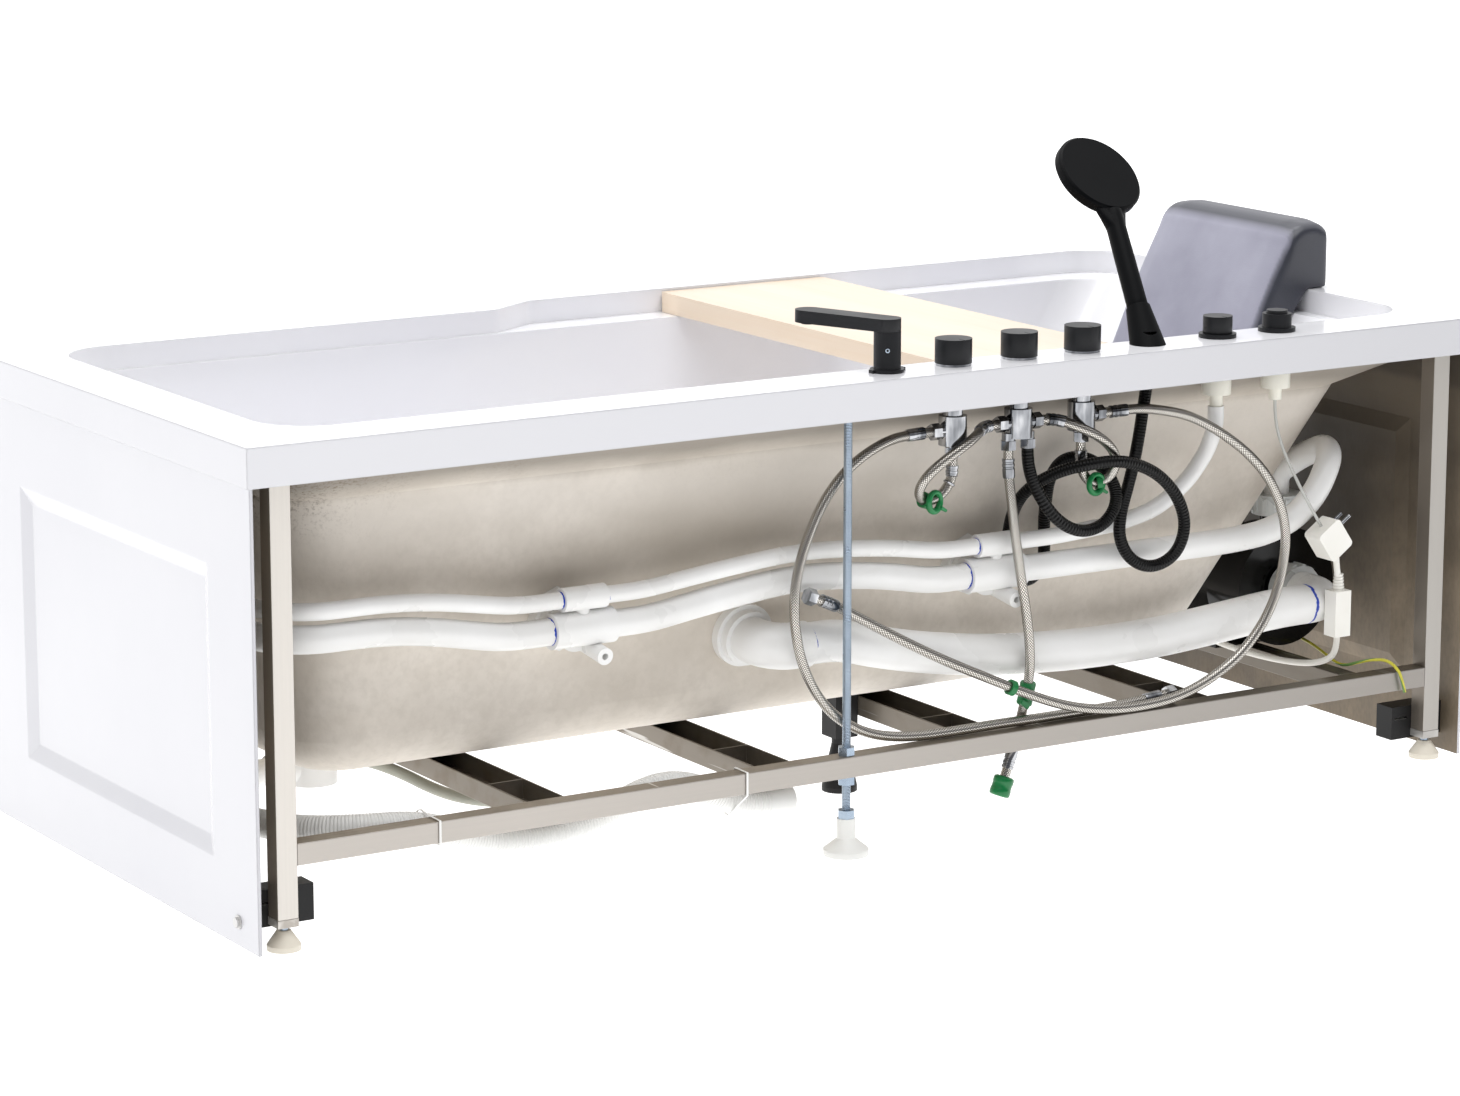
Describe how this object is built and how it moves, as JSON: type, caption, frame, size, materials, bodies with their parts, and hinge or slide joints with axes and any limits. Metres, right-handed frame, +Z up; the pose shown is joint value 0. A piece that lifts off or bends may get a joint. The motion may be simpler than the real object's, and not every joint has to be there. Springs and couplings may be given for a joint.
{
  "type": "jetted bathtub",
  "caption": "Rectangular jetted bathtub on a steel frame with its front skirt off: pump, jet pipes, hoses, deck taps, hand shower, headrest and bath board.",
  "frame": {"origin": "floor, under the middle of the rim", "axes": "+X to the headrest end, -Y the open service side, +Z up"},
  "size_m": [1.7, 0.8, 0.793],
  "materials": {
    "acrylic_white": "gloss",
    "glass_fibre": "matte mottled laminate",
    "stainless": "brushed",
    "zinc": "zinc plated",
    "pad_black": "satin",
    "foot_cream": "satin",
    "foot_white": "satin",
    "tap_black": "matte",
    "spray_grey": "matte",
    "valve_chrome": "plated",
    "pillow_grey": "satin",
    "board_pale": "sealed",
    "jet_chrome": "polished",
    "pipe_white": "satin",
    "pump_black": "gloss",
    "impeller_grey": "moulded",
    "union_milky": "translucent",
    "braid": "woven",
    "hose_black": "satin",
    "hose_white": "ribbed",
    "tube_grey": "satin",
    "tube_clear": "translucent",
    "earth_green": "satin",
    "fitting_metal": "polished",
    "plug_ivory": "satin"
  },
  "bodies": {
    "tub": {"tub_shell": "acrylic_white", "tub_backing": "glass_fibre", "end_aprons": "acrylic_white", "apron_screws": "zinc", "corner_posts": "stainless", "post_plugs": "stainless", "long_rails": "stainless", "cross_bars": "stainless", "basin_pads": "pad_black", "support_rod": "zinc", "lock_nuts": "zinc", "centre_leg": "pad_black", "panel_catches": "pad_black", "spout_base": "tap_black", "tap_valves": "valve_chrome", "control_bases": "tap_black", "shower_holder": "tap_black", "jet_bodies": "pipe_white", "water_line": "pipe_white", "air_line": "pipe_white", "suction_fitting": "pipe_white", "suction_pipe": "pipe_white", "pump_volute": "pump_black", "pump_motor": "pump_black", "pump_unions": "union_milky", "drain_fitting": "pipe_white", "hot_hose": "braid", "cold_hose": "braid", "inlet_hose": "braid", "first_link_hose": "braid", "second_link_hose": "braid", "shower_hose": "hose_black", "mains_cord": "plug_ivory", "earth_wire": "earth_green", "switch_tube": "tube_clear", "bleed_tube": "tube_grey", "drain_hose": "hose_white", "hose_fittings": "fitting_metal", "mains_plug": "plug_ivory"},
    "shower": {"hand_shower": "tap_black", "spray_plate": "spray_grey"},
    "spout_arm": {"spout_arm": "tap_black"},
    "hot_knob": {"hot_knob": "tap_black"},
    "diverter_knob": {"diverter_knob": "tap_black"},
    "cold_knob": {"cold_knob": "tap_black"},
    "air_knob": {"air_knob": "tap_black"},
    "jet_button": {"jet_button": "tap_black"},
    "headrest": {"headrest": "pillow_grey"},
    "bath_board": {"bath_board": "board_pale"},
    "front_foot_nozzle": {"front_foot_nozzle": "jet_chrome"},
    "front_head_nozzle": {"front_head_nozzle": "jet_chrome"},
    "back_foot_nozzle": {"back_foot_nozzle": "jet_chrome"},
    "back_head_nozzle": {"back_head_nozzle": "jet_chrome"},
    "impeller": {"impeller": "impeller_grey"},
    "drain_plug": {"drain_plug": "jet_chrome"},
    "rod_foot": {"rod_foot": "foot_white"},
    "left_front_foot": {"left_front_foot": "foot_cream"},
    "right_front_foot": {"right_front_foot": "foot_cream"},
    "left_rear_foot": {"left_rear_foot": "foot_cream"},
    "right_rear_foot": {"right_rear_foot": "foot_cream"}
  },
  "joints": [
    {"name": "spout_swing", "type": "hinge", "parent": "tub", "child": "spout_arm", "pos_m": [-0.005, -0.352, 0.61], "axis": [0, 0, 1], "range_deg": [-50, 70]},
    {"name": "hot_turn", "type": "hinge", "parent": "tub", "child": "hot_knob", "pos_m": [0.088, -0.352, 0.58], "axis": [0, 0, 1], "range_deg": [0, 90]},
    {"name": "diverter_turn", "type": "hinge", "parent": "tub", "child": "diverter_knob", "pos_m": [0.182, -0.352, 0.58], "axis": [0, 0, 1], "range_deg": [-60, 60]},
    {"name": "cold_turn", "type": "hinge", "parent": "tub", "child": "cold_knob", "pos_m": [0.274, -0.352, 0.58], "axis": [0, 0, 1], "range_deg": [-90, 0]},
    {"name": "air_turn", "type": "hinge", "parent": "tub", "child": "air_knob", "pos_m": [0.476, -0.352, 0.58], "axis": [0, 0, 1], "range_deg": [0, 270]},
    {"name": "button_press", "type": "slide", "parent": "tub", "child": "jet_button", "axis": [0, 0, 1], "range_m": [-0.004, 0], "stiffness_N_per_m": 800, "springref_m": 0.002},
    {"name": "shower_lift", "type": "slide", "parent": "tub", "child": "shower", "axis": [0.1394, 0.6039, 0.7848], "range_m": [0, 0.16]},
    {"name": "headrest_lift", "type": "slide", "parent": "tub", "child": "headrest", "axis": [0, 0, 1], "range_m": [0, 0.2]},
    {"name": "board_slide", "type": "slide", "parent": "tub", "child": "bath_board", "axis": [1, 0, 0], "range_m": [-0.185, 0.335]},
    {"name": "drain_lift", "type": "slide", "parent": "tub", "child": "drain_plug", "axis": [0, 0, 1], "range_m": [0, 0.01]},
    {"name": "impeller_spin", "type": "hinge", "parent": "tub", "child": "impeller", "pos_m": [0.688, -0.2, 0.208], "axis": [0, 1, 0], "continuous": true},
    {"name": "rod_foot_turn", "type": "slide", "parent": "tub", "child": "rod_foot", "axis": [0, 0, 1], "range_m": [-0.02, 0]},
    {"name": "left_front_level", "type": "slide", "parent": "tub", "child": "left_front_foot", "axis": [0, 0, 1], "range_m": [-0.02, 0.004]},
    {"name": "left_rear_level", "type": "slide", "parent": "tub", "child": "left_rear_foot", "axis": [0, 0, 1], "range_m": [-0.02, 0.004]},
    {"name": "right_front_level", "type": "slide", "parent": "tub", "child": "right_front_foot", "axis": [0, 0, 1], "range_m": [-0.02, 0.004]},
    {"name": "right_rear_level", "type": "slide", "parent": "tub", "child": "right_rear_foot", "axis": [0, 0, 1], "range_m": [-0.02, 0.004]},
    {"name": "front_foot_aim", "type": "hinge", "parent": "tub", "child": "front_foot_nozzle", "pos_m": [-0.403, -0.26949, 0.305], "axis": [0, -0.9913, -0.1315], "range_deg": [0, 90]},
    {"name": "back_foot_aim", "type": "hinge", "parent": "tub", "child": "back_foot_nozzle", "pos_m": [-0.403, 0.26949, 0.305], "axis": [0, 0.9913, -0.1315], "range_deg": [0, 90]},
    {"name": "front_head_aim", "type": "hinge", "parent": "tub", "child": "front_head_nozzle", "pos_m": [0.165, -0.26949, 0.305], "axis": [0, -0.9913, -0.1315], "range_deg": [0, 90]},
    {"name": "back_head_aim", "type": "hinge", "parent": "tub", "child": "back_head_nozzle", "pos_m": [0.165, 0.26949, 0.305], "axis": [0, 0.9913, -0.1315], "range_deg": [0, 90]}
  ]
}
